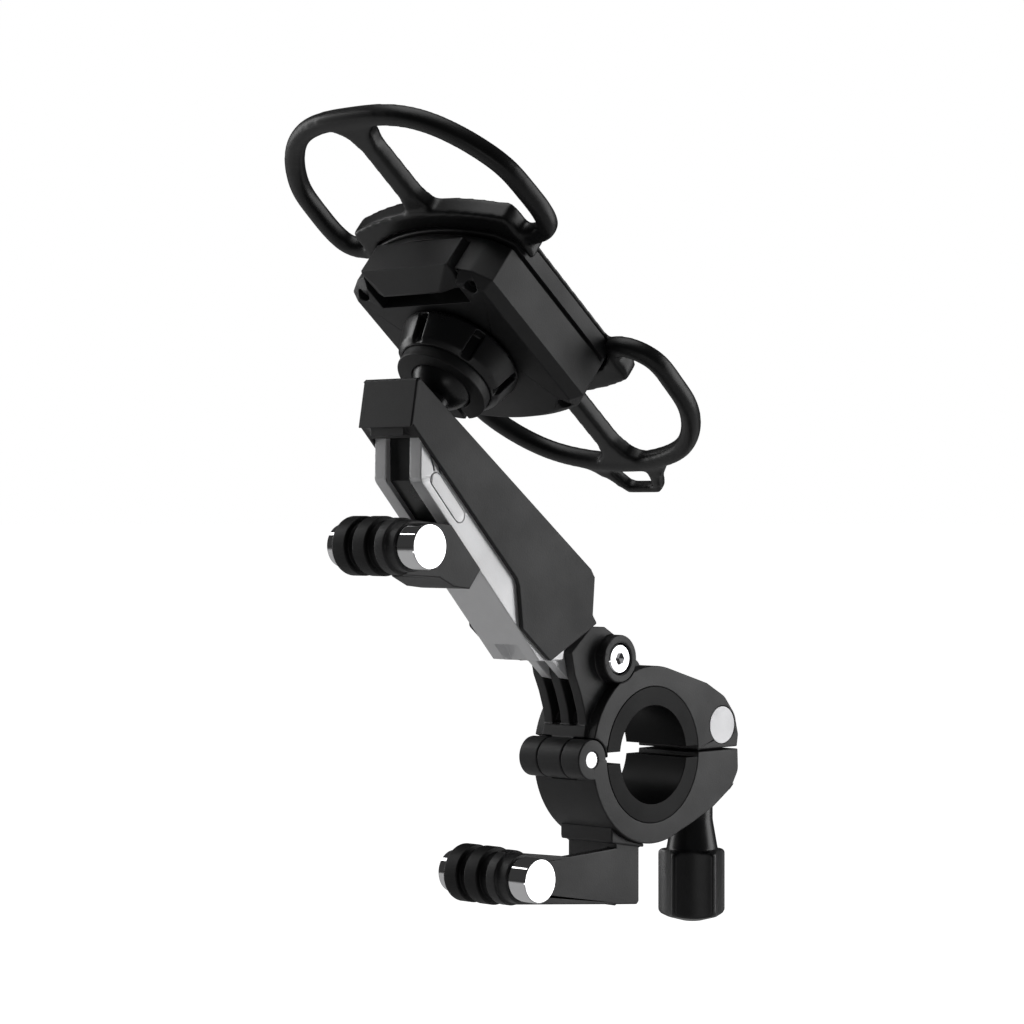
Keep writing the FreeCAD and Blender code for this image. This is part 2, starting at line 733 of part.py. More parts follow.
def build_cover():
    """Black cover: a channel over the arm core with a closed cap, open at the pivot."""
    cover = Piece("arm_cover")
    wall = dim("cover_wall")
    cover.add("XZ_Plane", [outline([
        cap_top, heel_top, from_pivot(-8.1, 21.0), from_pivot(-8.9, 11.4), from_pivot(-7.3, 9.2),
        from_pivot(-24.4, 0.2), from_pivot(-34.4, 8.5), from_pivot(-35.6, 19.2), from_pivot(-36.3, 20.9),
        from_pivot(-71.6, 57.9), from_pivot(-72.3, 57.4),
    ])], -cover_half, cover_half)
    inner = cover_half - wall
    top = dim("cover_top_wall")
    cap_wall = as_size(2.6)
    first = under_top(cap_wall + 1.0, top)
    last = under_top(90, top)
    cap_low = from_pivot(-72.3, 57.4)
    cover.cut("XZ_Plane", [outline([
        (cap_low[0] + cap_wall, cap_low[1] - 20), (last[0], pivot_z - 20), last, first,
        (cap_low[0] + cap_wall + 1.4, first[1] - 6),
    ])], -inner, inner)
    cover.soften("Fillet", near_line(*cap_top), 0.8)
    lip = box_loop(cap_low[0] + 0.9, cap_low[0] + 3.2, cap_low[1] - 1.9, cap_low[1] + 1)
    cover.add("XZ_Plane", [lip], -6, 6)


def build_core():
    """Aluminium arm core: two side walls over a channel, a lug in its lower notch, two pivot tongues."""
    core = Piece("arm_core")
    top = dim("cover_top_wall") + seat
    first = under_top(5.2, top)
    tip_up = on_core(60.3, 0)
    core.add("XZ_Plane", [outline([
        core_tip, from_pivot(-18.7, 0.3), from_pivot(-16.0, 12.0), from_pivot(-14.6, 17.0),
        under_top(66, top), first, (tip_up[0] + 0.2, pivot_z + 59.0), tip_up,
    ])], -core_half, core_half)
    core.soften("Fillet", near_line(*tip_up), 2.5)
    half_tongue = dim("prong_gap") / 2 - 0.05
    radius = dim("tongue_radius")
    for side in (-1, 1):
        middle = pitch / 2 * side
        low, high = middle - half_tongue, middle + half_tongue
        core.add("XZ_Plane", [outline([
            core_tip, from_pivot(-18.7, -0.2), from_pivot(-13.5, -4.6), (pivot_x, pivot_z - radius),
            (pivot_x, pivot_z + radius, radius * 1.0001), from_pivot(-17.0, 12.0), on_core(6, 8),
        ])], low, high)
    core.cut("XZ_Plane", [circle(pivot_x, pivot_z, dim("pivot_bolt_diameter") / 2 + fit)],
             -core_half - 1, core_half + 1)
    depth = dim("core_channel_depth")
    core.cut("XZ_Plane", [outline([
        on_core(30.5, -2), on_core(30.5, depth), on_core(57.6, depth), (tip_up[0] + 6.2, pivot_z + 56.2),
        (tip_up[0] - 6, pivot_z + 56.2), on_core(69, -2),
    ])], -channel_half, channel_half)
    # Hollow of the core, closed by the cover above it.
    hollow_half = core_half - 2.4
    core.cut("XZ_Plane", [outline([
        on_core(12, 8.2), on_core(12, 30), on_core(50, 30), on_core(54, 8.2),
    ])], -hollow_half, hollow_half)
    # Lower notch; a low round lug is left standing in it.
    core.cut("XZ_Plane", [outline([
        on_core(-3, -2), on_core(-3, 1.6), on_core(1.0, 2.6), on_core(5.4, 2.6), on_core(5.4, -2),
    ])], -(channel_half - 0.1), channel_half - 0.1)
    # Pocket of the oval button and of its spring in the near wall.
    core.cut("XZ_Plane", [oval_loop(0.06)], -core_half - 1, -(core_half - 2.6))



def build_arm_fittings():
    """Mounting bar in the core's channel, oval button, its spring pad and the bracket screws."""
    bar = Piece("mounting_bar")
    bar_half = channel_half - seat
    end_x = on_core(60.3, 0)[0]
    low, high = dim("bar_recess"), dim("core_channel_depth") - seat
    bar.add("XZ_Plane", [outline([
        on_core(30.5 + seat, low), on_core(30.5 + seat, high), on_core(57.6, high),
        (end_x + 6.18, pivot_z + 56.1), (end_x + 1.4, pivot_z + 56.1), on_core(59.3, low),
    ])], -bar_half, bar_half)
    button = Piece("oval_button")
    face = core_half + 0.1
    button.add("XZ_Plane", [oval_loop(0)], -face, -(core_half - 1.4))
    spring = Piece("oval_spring")
    spring.add("XZ_Plane", [circle(*on_core(51.3, 3.9), 1.3)], -(core_half - 1.4 - 0.85), -(core_half - 2.6))


def build_bracket():
    """Roller bracket: a saddle against the core's underside and a cheek for the upper roller."""
    bracket = Piece("roller_bracket")
    x, z = upper_roller
    below = -seat
    top, low = on_core(46.2, below), on_core(31.4, below)
    bracket.add("XZ_Plane", [outline([
        (x - 0.4, z - 6.8), (x + 11.9, z - 7.6), (x + 16.7, z - 9.9), (x + 22.0, z - 10.5), low, top,
        (x - 0.4, z + 6.6),
    ])], -cheek_face, -cheek_back)
    bracket.add("XZ_Plane", [circle(x, z, dim("cheek_radius"))], -cheek_face, -cheek_back)
    bracket.add("XZ_Plane", [outline([
        (x + 9.6, z - 2.4), (x + 11.9, z - 7.6), (x + 16.7, z - 9.9), (x + 22.0, z - 10.5), low, top,
    ])], -cheek_face, cheek_face - 1)
    bore_cheek(bracket, upper_roller)
    neck = channel_half - seat
    recess = dim("bar_recess") - seat
    bracket.add("XZ_Plane", [outline([
        on_core(33, -0.6), on_core(33, recess), on_core(45, recess), on_core(45, -0.6),
    ])], -neck, neck)


# ---------------------------------------------------------------- ball joint and head


def on_head(piece):
    """Put a body in the head frame."""
    piece.place(head_x, 0, head_z, HEAD_TURN)


def build_stud():
    """Ball stud on the cover and its nut under the cover's top wall."""
    stud = Piece("ball_stud")
    rise = dim("ball_height")
    neck = dim("stud_neck_radius")
    level = root(ball_radius * ball_radius - neck * neck)
    crown = root(ball_radius * ball_radius - 0.36)
    thread = as_size(2.5)
    tail = -(rise + dim("cover_top_wall") + 3.0)
    stud.turn("Revolution", [
        (0, tail), (thread, tail), (thread, -(rise - seat)), (6.0, -(rise - seat)), (6.0, -(rise - 1.4)),
        (neck, -(rise - 2.4)), (neck, -level), (0.6, crown, ball_radius), (0, crown),
    ])
    turn = FreeCAD.Rotation(FreeCAD.Vector(0, 1, 0), 37.7)
    stud.place(ball_x, 0, ball_z, turn)
    return stud


def drill(label, radius):
    """Cut the stud's thread hole through a body of the arm."""
    body = nodes[label]
    body.Label = f"{label}_blank"
    tool = doc.addObject("Part::Cylinder", f"{label}_drill")
    bind(tool, "Radius", radius)
    depth = dim("cover_top_wall") + 7.0
    start = 1.0
    bind(tool, "Height", depth + start)
    rotation = FreeCAD.Rotation(FreeCAD.Vector(0, 1, 0), 37.7 + 180)
    put(tool, stud_foot[0] + top_z * start, 0, stud_foot[1] + top_x * start, rotation)
    cut = doc.addObject("Part::Cut", f"{label}_cut")
    cut.Base = body
    cut.Tool = tool
    cut.Label = label
    doc.recompute()
    nodes[label] = cut


def build_socket():
    """Collet of the ball joint, the liner and pressure cup inside it, and the lobed lock ring."""
    drop = dim("ball_drop")
    outer = dim("collet_radius")
    liner_inner = ball_radius + fit
    liner_outer = liner_inner + dim("liner_wall")
    cup_inner = liner_outer + fit
    cup_outer = cup_inner + dim("liner_wall")
    cavity = cup_outer + fit
    wall = dim("housing_wall")
    lip = ball_radius - 0.55
    lip_level = -root(liner_inner * liner_inner - lip * lip)
    ledge = as_size(66)
    ceiling = root(cavity * cavity - 0.36)
    collet = Piece("socket_collet")
    collet.turn("Revolution", [
        (lip, -(dim("collet_reach") - drop)), (outer, -(dim("collet_reach") - drop)),
        (outer, drop + wall), (outer + 2.4, drop + wall), (outer + 2.4, drop + wall + 2.2),
        (0, drop + wall + 2.2), (0, ceiling), (0.6, ceiling),
        (cavity * sine(ledge), cavity * cosine(ledge), -cavity),
        (liner_inner * sine(ledge), liner_inner * cosine(ledge)), (liner_inner, 0, -liner_inner),
        (lip, lip_level, -liner_inner),
    ])
    collet.cut("XZ_Plane", [box_loop(lip - 2, outer + 1, -5, -(drop - 7.2))], -0.6, 0.6)
    collet.place(ball_x, 0, ball_z, HEAD_TURN)
    rim, eye = as_size(33), as_size(9)
    for label, inner, shell in (("friction_liner", liner_inner, liner_outer),
                                ("pressure_cup", cup_inner, cup_outer)):
        cup = Piece(label)
        cup.turn("Revolution", [
            (inner * sine(eye), inner * cosine(eye)), (inner * sine(rim), inner * cosine(rim), -inner),
            (shell * sine(rim), shell * cosine(rim)), (shell * sine(eye), shell * cosine(eye), shell),
        ])
        cup.place(ball_x, 0, ball_z, HEAD_TURN)
    lock = Piece("lock_ring")
    top, low = drop - 0.5, drop - 0.5 - dim("lock_ring_height")
    wide = dim("lock_ring_radius")
    narrow = wide - dim("lock_ring_taper")
    hole = outer + fit
    lock.turn("Revolution", [
        (hole, low), (narrow - 1.4, low), (narrow, low + 1.4), (wide, top - 1.0), (wide - 1.0, top),
        (hole, top),
    ])
    slot = lock.cut("XY_Plane", [box_loop(hole + 0.6, wide + 2, -1.3, 1.3)], low - 1, top - 1.3)
    lock.around(slot, dim("lock_ring_lobes"))
    lock.place(ball_x, 0, ball_z, HEAD_TURN)


half_length = dim("head_length") / 2
half_width = dim("head_width") / 2
housing_top = dim("housing_height")
plate_low = housing_top + dim("groove_gap")
plate_top = plate_low + dim("plate_height")


def head_loop(margin):
    """Give a drawer of the head's outline, grown by a margin."""
    margin = as_size(margin)
    flat = half_length - 3.5 + margin
    side = half_width + margin
    wide = side - 4.3
    long = flat - 3.5
    bow = (wide * wide + 12.25) / 7.0
    return outline([
        (flat, -wide), (flat, wide, bow), (long, side), (-long, side), (-flat, wide), (-flat, -wide, bow),
        (-long, -side), (long, -side),
    ])


def screw_places():
    """Give the four screw places of the head."""
    x, y = dim("screw_spacing_long") / 2, dim("screw_spacing_wide") / 2
    return [(x, y), (-x, y), (-x, -y), (x, -y)]


def flat_at(level):
    """Give a test for edges that lie at one height."""
    return lambda edge: all(abs(vertex.Point.z - level) < 0.01 for vertex in edge.Vertexes)


def build_housing():
    """Back housing: shell with a collet hole, screw bosses and the release button's pocket."""
    housing = Piece("back_housing")
    wall = dim("housing_wall")
    housing.add("XY_Plane", [head_loop(0)], 0, housing_top)
    housing.soften("Chamfer", flat_at(0), 2.4)
    housing.cut("XY_Plane", [box_loop(-14.7, 25.0, -14.6, 14.6)], wall, housing_top + 1)
    housing.cut("XY_Plane", [box_loop(-14.7, 16.4, -21.6, 21.6)], wall, housing_top + 1)
    housing.cut("XY_Plane", [circle(0, 0, dim("collet_radius") + seat)], -1, wall + 1)
    button_half = dim("button_width") / 2 + fit + 0.15
    housing.cut("XY_Plane", [box_loop(-40, -16.3, -button_half, button_half)], -5, 11.0)
    housing.cut("XY_Plane", [outline([
        (-40, -17.2), (-26.5, -17.2), (-23.0, -15.2), (-23.0, 15.2), (-26.5, 17.2), (-40, 17.2),
    ])], -5, 2.2)
    housing.cut("XY_Plane", [box_loop(-24.3, -16.3, -(button_half + 1.3), button_half + 1.3)], 4.8, 8.2)
    for x, y in screw_places():
        housing.cut("XY_Plane", [circle(x, y, dim("screw_hole_radius"))], -1, 3.2)
        housing.cut("XY_Plane", [circle(x, y, 1.0 + seat)], 3.0, housing_top + 1)
    on_head(housing)


def build_plate():
    """Band plate: a spigot that stands on the housing and the plate that carries the band."""
    plate = Piece("band_plate")
    plate.add("XY_Plane", [head_loop(-1.5)], housing_top + seat, plate_low + 1)
    plate.add("XY_Plane", [head_loop(0)], plate_low, plate_top)
    plate.cut("XY_Plane", [box_loop(-18, 18, -19, 19)], housing_top - 1, plate_low + 1.6)
    for x, y in screw_places():
        plate.cut("XY_Plane", [circle(x, y, 1.0 + seat)], housing_top - 1, plate_low + 3.2)
    on_head(plate)


def build_head_screws():
    """Four screws from the housing's back up into the plate."""
    tip = plate_low + 3.0
    screw = Piece("housing_screw")
    screw.turn("Revolution", [(0, 1.6), (1.6, 1.6), (1.6, 3.2), (1.0, 3.2), (1.0, tip), (0, tip)])
    screw.cut("XY_Plane", [hexagon(0, 0, 1.5)], 1, 2.4)
    del nodes["housing_screw"]
    copies = []
    for x, y in screw_places():
        copy = screw.body.Shape.copy()
        copy.translate(FreeCAD.Vector(x.value, y.value, 0))
        copies.append(copy)
    group = doc.addObject("Part::Feature", "housing_screws")
    group.Shape = Part.makeCompound(copies)
    group.Label = "housing_screws"
    put(group, head_x, 0, head_z, HEAD_TURN)
    nodes["housing_screws"] = group


def build_release():
    """Release button at the head's forward end and its spring."""
    button = Piece("release_button")
    half = dim("button_width") / 2
    button.add("XZ_Plane", [outline([
        (-28.0, 1.4), (-22.0, -1.2), (-21.2, -1.2), (-20.4, 1.8), (-19.2, 1.8), (-19.2, 10.8), (-27.4, 10.8),
        (-28.0, 10.2),
    ])], -half, half)
    for side in (-1, 1):
        button.cut("YZ_Plane", [outline([
            (9.8 * side, -1.3), (half * side, 1.4), (17 * side, 1.4), (17 * side, -1.3),
        ])], -30, -19)
    button.add("XZ_Plane", [box_loop(-24.0, -19.2, 5.0, 8.0)], -(half + 1.2), half + 1.2)
    button.cut("YZ_Plane", [circle(0, 6.0, 2.4)], -25.2, -19.0)
    on_head(button)
    spring = doc.addObject("Part::Feature", "release_spring")
    coil = Part.makeHelix(1.3, 5.2, 1.7)
    profile = Part.Wire([Part.makeCircle(0.3, FreeCAD.Vector(1.7, 0, 0), FreeCAD.Vector(0, 1, 0))])
    shape = Part.Wire(coil).makePipeShell([profile], True, True)
    shape.rotate(FreeCAD.Vector(0, 0, 0), FreeCAD.Vector(0, 1, 0), -90)
    shape.translate(FreeCAD.Vector(-16.3 - 0.32, 0, 6.0))
    spring.Shape = Part.makeCompound([shape])
    spring.Label = "release_spring"
    put(spring, head_x, 0, head_z, HEAD_TURN)
    nodes["release_spring"] = spring


def strand(points, radius, level):
    """Give a flat strand of the band along a smooth curve, with rounded edges."""
    curve = Part.BSplineCurve()
    curve.interpolate([FreeCAD.Vector(x, y, 0) for x, y in points])
    steps = 72
    sides = ([], [])
    for i in range(steps + 1):
        at = curve.FirstParameter + (curve.LastParameter - curve.FirstParameter) * i / steps
        place, along = curve.value(at), curve.tangent(at)[0]
        across = FreeCAD.Vector(-along.y, along.x, 0) * radius
        for side, sign in zip(sides, (1, -1)):
            side.append(place + across * sign + FreeCAD.Vector(0, 0, level - radius))
    edges = []
    for side in sides:
        rail = Part.BSplineCurve()
        rail.interpolate(side)
        edges.append(rail.toShape())
    ends = [Part.makeLine(sides[0][i], sides[1][i]) for i in (0, -1)]
    face = Part.Face(Part.Wire(Part.__sortEdges__(edges + ends)))
    solid = face.extrude(FreeCAD.Vector(0, 0, 2 * radius))
    long = [edge for edge in solid.Edges if edge.Length > 20]
    return solid.makeFillet(radius * 0.72, long)


def polygon_prism(points, low, high):
    """Give the prism of a closed polygon between two heights."""
    corners = [FreeCAD.Vector(x, y, low) for x, y in points]
    face = Part.Face(Part.makePolygon(corners + corners[:1]))
    return face.extrude(FreeCAD.Vector(0, 0, high - low))


def bowed(x_edge, x_end, half, inner):
    """Give the corners of an end cap's outline, bowed at its far end."""
    sign = 1 if x_end > 0 else -1
    bow = abs(x_end) - abs(x_edge)
    points = [(inner, -half), (sign * (abs(x_edge) - 2.2), -(half + 0.3)), (x_edge, -(half - 0.6))]
    steps = 32
    for i in range(1, steps):
        share = i / steps * 2 - 1
        points.append((sign * (abs(x_edge) + bow * (1 - share * share)), share * (half - 0.6)))
    points += [(x_edge, half - 0.6), (sign * (abs(x_edge) - 2.2), half + 0.3), (inner, half)]
    return points


def build_band():
    """Silicone band: two end caps joined by a sheet, a loop and a spoke at each end, and a pull tab."""
    length = dim("band_half_length").value / 62.8
    width = dim("band_half_width").value / 36.2
    radius = dim("band_strand").value / 2
    top = (plate_top + gap + dim("band_sheet")).value
    level = (housing_top + 4.6).value
    low = (plate_low + gap).value
    clear = gap.value
    reach = half_length.value / 27.5
    side = half_width.value
    ends = [(-28.7, -33.0, -15.0), (28.7, 33.0, 20.0)]
    solids = []
    for x_edge, x_end, inner in ends:
        solids.append(polygon_prism(bowed(x_edge * reach, x_end * reach, side + 2.3, inner), low, top))
    band = solids[0].fuse(solids[1:])
    sheet_points = [(-22, -side), (22, -side), (22, side), (-22, side)]
    band = band.fuse(polygon_prism(sheet_points, (plate_top + gap).value, top))
    flat = half_length.value - 3.5 + clear
    wide = side + clear
    room = [(flat - 3.5, -wide), (flat, -(wide - 4.3))]
    for i in range(1, 12):
        share = i / 12 * 2 - 1
        room.append((flat + 3.5 * (1 - share * share), share * (wide - 4.3)))
    room += [(flat, wide - 4.3), (flat - 3.5, wide)]
    room += [(-x, -y) for x, y in room]
    band = band.cut(polygon_prism(room, low - 1, (plate_top + gap).value))
    upper = [(-20.8, 25.2), (-20.8, 31.0), (-22.6, 34.6), (-26.7, 36.2), (-34, 36.3), (-41.5, 35.5),
             (-47.6, 32.7), (-52.8, 28.8), (-57.8, 23.2), (-60.9, 17), (-62.5, 9)]
    lower = [(19.8, 25.2), (21.0, 32), (25.2, 35.7), (32.8, 36.2), (40.2, 35.6), (48.5, 31.9),
             (57.2, 23.2), (61.2, 13.0)]
    loops = []
    for half in (upper, lower):
        sign = -1 if half[0][0] < 0 else 1
        points = [(x * length, y * width) for x, y in half]
        points[0] = (half[0][0], side + 0.9)
        points.append((sign * 62.8 * length, 0))
        points += [(x, -y) for x, y in points[-2::-1]]
        loops.append(strand(points, radius, level))
        inner, outer = 31.0 * reach, 62.8 * length
        spoke = [(inner, 6.5), (inner + 3.0, 3.9), (inner + 6.5, 2.8), (outer - 9.0, 2.7), (outer - 4.5, 4.2),
                 (outer - 1.2, 8.6)]
        spoke += [(x, -y) for x, y in reversed(spoke)]
        loops.append(polygon_prism([(sign * x, y) for x, y in spoke], level - 0.9 * radius, level + 0.9 * radius))
    rim = 62.8 * length
    tab_end = rim + dim("tab_length").value
    half = dim("tab_half_width").value + 0.4
    tab = polygon_prism([
        (rim - 1.0, -15.5), (rim + 1.6, -13.0), (rim + 6.0, -8.6), (tab_end - 1.2, -half), (tab_end, -half + 1.2),
        (tab_end, half - 1.2), (tab_end - 1.2, half), (rim + 6.0, 8.6), (rim + 1.6, 13.0), (rim - 1.0, 15.5),
    ], level - 1.7, level + 1.7)
    hole = polygon_prism([
        (rim + 2.2, -6.2), (rim + 8.0, -4.6), (rim + 8.7, -3.8), (rim + 8.7, 3.8), (rim + 8.0, 4.6),
        (rim + 2.2, 6.2),
    ], level - 3, level + 3)
    band = band.fuse(loops + [tab]).cut(hole)
    feature = doc.addObject("Part::Feature", "silicone_band")
    feature.Shape = band.Solids[0] if len(band.Solids) == 1 else band
    feature.Label = "silicone_band"
    put(feature, head_x, 0, head_z, HEAD_TURN)
    nodes["silicone_band"] = feature


def finish():
    """Check every object and every piece, then write one STEP file per node."""
    doc.recompute()
    faults = []
    for item in doc.Objects:
        if any(word in item.State for word in ("Invalid", "Error")):
            faults.append(f"{item.Label}: {item.State}")
    for label, item in nodes.items():
        if item.Shape.isNull() or not item.Shape.isValid():
            faults.append(f"{label}: shape is null or not valid")
        elif not item.Shape.Solids:
            faults.append(f"{label}: no solid")
    if faults:
        raise RuntimeError("; ".join(faults))
    os.makedirs("parts", exist_ok=True)
    for label, item in nodes.items():
        item.Shape.exportStep(os.path.join("parts", f"{label}.step"))
        print(label, len(item.Shape.Solids), round(item.Shape.Volume, 1))


build_upper_jaw()
build_lower_jaw()
build_sleeves()
build_clamp_hardware()
build_knob()
build_pivot_hardware()
build_lower_arm()
build_roller("lower", lower_roller)
build_cover()
build_core()
build_arm_fittings()
build_bracket()
build_roller("upper", upper_roller)
build_stud()
drill("arm_cover", 2.5 + seat)
drill("arm_core", 2.5 + seat)
build_socket()
build_housing()
build_plate()
build_head_screws()
build_release()
build_band()
finish()
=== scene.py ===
import logging
import math
from dataclasses import dataclass
from enum import Enum

import bmesh
import bpy
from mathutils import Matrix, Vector

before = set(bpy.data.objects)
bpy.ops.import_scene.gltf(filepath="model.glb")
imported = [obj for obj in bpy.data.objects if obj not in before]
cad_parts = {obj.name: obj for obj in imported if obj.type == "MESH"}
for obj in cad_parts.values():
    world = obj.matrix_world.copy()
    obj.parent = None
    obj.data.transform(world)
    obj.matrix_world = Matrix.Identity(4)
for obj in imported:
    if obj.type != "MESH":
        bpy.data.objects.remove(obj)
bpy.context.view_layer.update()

MM = 0.001
MIX_COLOUR_A = 6
MIX_COLOUR_B = 7
MIX_COLOUR_OUT = 2
RUBBED_EDGE = (0.12, 0.12, 0.125, 1.0)
WHITE = (1.0, 1.0, 1.0, 1.0)
log = logging.getLogger("phone_mount")


class Grain(Enum):
    """How a surface is textured: size of its grain per metre, and depth."""

    POLISHED = (900.0, 0.0)
    SATIN = (2600.0, 0.02)
    MOULDED = (2300.0, 0.07)
    BLASTED = (3400.0, 0.1)

    @property
    def scale(self) -> float:
        """Give the grains per metre."""
        return self.value[0]

    @property
    def depth(self) -> float:
        """Give the strength of the relief."""
        return self.value[1]


@dataclass(frozen=True)
class Finish:
    """One surface finish.

    Args:
        name: material name.
        colour: base colour, linear RGB.
        roughness: mean roughness.
        metallic: 0 for plastic and rubber, 1 for bare metal.
        grain: how the surface is textured.
        specular: specular level.
        edge: how much lighter rubbed edges are.
        mottle: how much the colour varies over the surface.
        marks: how much the roughness varies from handling.
    """

    name: str
    colour: tuple[float, float, float]
    roughness: float
    metallic: float = 0.0
    grain: Grain = Grain.SATIN
    specular: float = 0.5
    edge: float = 0.0
    mottle: float = 0.08
    marks: float = 0.05

    def build(self) -> bpy.types.Material:
        """Make the material.

        Returns:
            The Blender material.
        """
        material = bpy.data.materials.new(self.name)
        material.use_nodes = True
        tree = material.node_tree
        shader = tree.nodes["Principled BSDF"]
        shader.inputs["Metallic"].default_value = self.metallic
        shader.inputs["Specular IOR Level"].default_value = self.specular
        group = tree.nodes.new("ShaderNodeGroup")
        group.node_tree = surface_group()
        levels = {
            "Roughness": self.roughness, "Grain": self.grain.depth, "Scale": self.grain.scale,
            "Edge": self.edge, "Mottle": self.mottle, "Marks": self.marks,
        }
        group.inputs["Colour"].default_value = (*self.colour, 1.0)
        for name, level in levels.items():
            group.inputs[name].default_value = level
        tree.links.new(group.outputs["Colour"], shader.inputs["Base Color"])
        tree.links.new(group.outputs["Roughness"], shader.inputs["Roughness"])
        if self.grain is not Grain.POLISHED:
            tree.links.new(group.outputs["Normal"], shader.inputs["Normal"])
        return material


class GroupBuilder:
    """Adds nodes to a node group in few words."""

    def __init__(self, name: str, takes: dict[str, str], gives: dict[str, str]) -> None:
        """Make the group and its sockets.

        Args:
            name: group name.
            takes: input socket names and kinds.
            gives: output socket names and kinds.
        """
        self.tree = bpy.data.node_groups.new(name, "ShaderNodeTree")
        for side, sockets in (("INPUT", takes), ("OUTPUT", gives)):
            for label, kind in sockets.items():
                self.tree.interface.new_socket(label, in_out=side, socket_type=f"NodeSocket{kind}")
        self.given = self.tree.nodes.new("NodeGroupInput").outputs
        self.result = self.tree.nodes.new("NodeGroupOutput").inputs

    def link(self, source: bpy.types.NodeSocket, target: bpy.types.NodeSocket) -> None:
        """Join two sockets.

        Args:
            source: output socket.
            target: input socket.
        """
        self.tree.links.new(source, target)

    def noise(self, vector: bpy.types.NodeSocket, scale: float, detail: float) -> bpy.types.Node:
        """Add a noise pattern.

        Args:
            vector: where the pattern is read.
            scale: cells per metre.
            detail: octaves.

        Returns:
            The node.
        """
        node = self.tree.nodes.new("ShaderNodeTexNoise")
        node.inputs["Scale"].default_value = scale
        node.inputs["Detail"].default_value = detail
        self.link(vector, node.inputs["Vector"])
        return node

    def spread(self, value: bpy.types.NodeSocket, reach: bpy.types.NodeSocket) -> bpy.types.NodeSocket:
        """Turn a noise into an offset of plus or minus a reach.

        Args:
            value: the noise, about 0.3 to 0.7.
            reach: the largest offset.

        Returns:
            The offset.
        """
        level = self.tree.nodes.new("ShaderNodeMapRange")
        level.inputs["From Min"].default_value = 0.3
        level.inputs["From Max"].default_value = 0.7
        level.inputs["To Min"].default_value = -1.0
        level.inputs["To Max"].default_value = 1.0
        self.link(value, level.inputs["Value"])
        return self.math("MULTIPLY", level.outputs["Result"], reach)

    def math(self, action: str, first: bpy.types.NodeSocket, second: bpy.types.NodeSocket,
             clamp: bool = False) -> bpy.types.NodeSocket:
        """Add a sum.

        Args:
            action: the operation.
            first: first value.
            second: second value.
            clamp: keep the answer between 0 and 1.

        Returns:
            The answer.
        """
        node = self.tree.nodes.new("ShaderNodeMath")
        node.operation = action
        node.use_clamp = clamp
        self.link(first, node.inputs[0])
        self.link(second, node.inputs[1])
        return node.outputs["Value"]


def surface_group() -> bpy.types.NodeTree:
    """Give the shared node group of grain, handling marks, mottling and rubbed edges.

    Returns:
        The group, made once.
    """
    found = bpy.data.node_groups.get("surface_detail")
    if found:
        return found
    levels = ("Roughness", "Grain", "Scale", "Edge", "Mottle", "Marks")
    group = GroupBuilder(
        "surface_detail", {"Colour": "Color", **{name: "Float" for name in levels}},
        {"Colour": "Color", "Roughness": "Float", "Normal": "Vector"},
    )
    nodes = group.tree.nodes
    place = nodes.new("ShaderNodeTexCoord").outputs["Object"]
    fine = group.noise(place, 2600.0, 3.0)
    group.link(group.given["Scale"], fine.inputs["Scale"])
    bump = nodes.new("ShaderNodeBump")
    bump.inputs["Distance"].default_value = 0.0004
    group.link(group.given["Grain"], bump.inputs["Strength"])
    group.link(fine.outputs["Fac"], bump.inputs["Height"])
    group.link(bump.outputs["Normal"], group.result["Normal"])

    touched = group.noise(place, 75.0, 5.0)
    offset = group.spread(touched.outputs["Fac"], group.given["Marks"])
    group.link(group.math("ADD", group.given["Roughness"], offset, True), group.result["Roughness"])

    cloudy = group.noise(place, 240.0, 4.0)
    shade = nodes.new("ShaderNodeHueSaturation")
    one = nodes.new("ShaderNodeMath")
    one.operation = "ADD"
    group.link(group.spread(cloudy.outputs["Fac"], group.given["Mottle"]), one.inputs[0])
    one.inputs[1].default_value = 1.0
    group.link(one.outputs["Value"], shade.inputs["Value"])
    group.link(group.given["Colour"], shade.inputs["Color"])

    sharp = nodes.new("ShaderNodeMapRange")
    sharp.inputs["From Min"].default_value = 0.53
    sharp.inputs["From Max"].default_value = 0.62
    group.link(nodes.new("ShaderNodeNewGeometry").outputs["Pointiness"], sharp.inputs["Value"])
    mix = nodes.new("ShaderNodeMix")
    mix.data_type = "RGBA"
    group.link(group.math("MULTIPLY", sharp.outputs["Result"], group.given["Edge"]), mix.inputs["Factor"])
    group.link(shade.outputs["Color"], mix.inputs[MIX_COLOUR_A])
    mix.inputs[MIX_COLOUR_B].default_value = RUBBED_EDGE
    group.link(mix.outputs[MIX_COLOUR_OUT], group.result["Colour"])
    return group.tree


PLASTIC = Finish("matte_black_plastic", (0.017, 0.017, 0.018), 0.5, grain=Grain.MOULDED, edge=0.15)
COATED = Finish("black_powder_coat", (0.018, 0.018, 0.019), 0.46, grain=Grain.MOULDED, edge=0.2)
GLOSS = Finish("satin_black_plastic", (0.011, 0.011, 0.012), 0.3)
RUBBER = Finish("black_rubber", (0.005, 0.005, 0.0055), 0.5, specular=0.28, mottle=0.15)
SILICONE = Finish("black_silicone", (0.007, 0.007, 0.0075), 0.38, specular=0.4, mottle=0.15)
SILVER = Finish("satin_silver", (0.8, 0.8, 0.81), 0.36, metallic=0.35, grain=Grain.BLASTED, mottle=0.02)
CHROME = Finish(
    "chrome", (0.93, 0.93, 0.94), 0.04, metallic=1.0, grain=Grain.POLISHED, mottle=0.0, marks=0.02,
)
STEEL = Finish("satin_steel", (0.62, 0.62, 0.63), 0.28, metallic=1.0, mottle=0.04)
SLEEVE = Finish("smooth_black_rubber", (0.003, 0.003, 0.0034), 0.42, specular=0.14, mottle=0.1)
PIN_STEEL = Finish("satin_pin_steel", (0.55, 0.55, 0.56), 0.35, metallic=0.6, mottle=0.02)
BRASS = Finish("machined_brass", (0.72, 0.5, 0.2), 0.3, metallic=1.0, mottle=0.04)


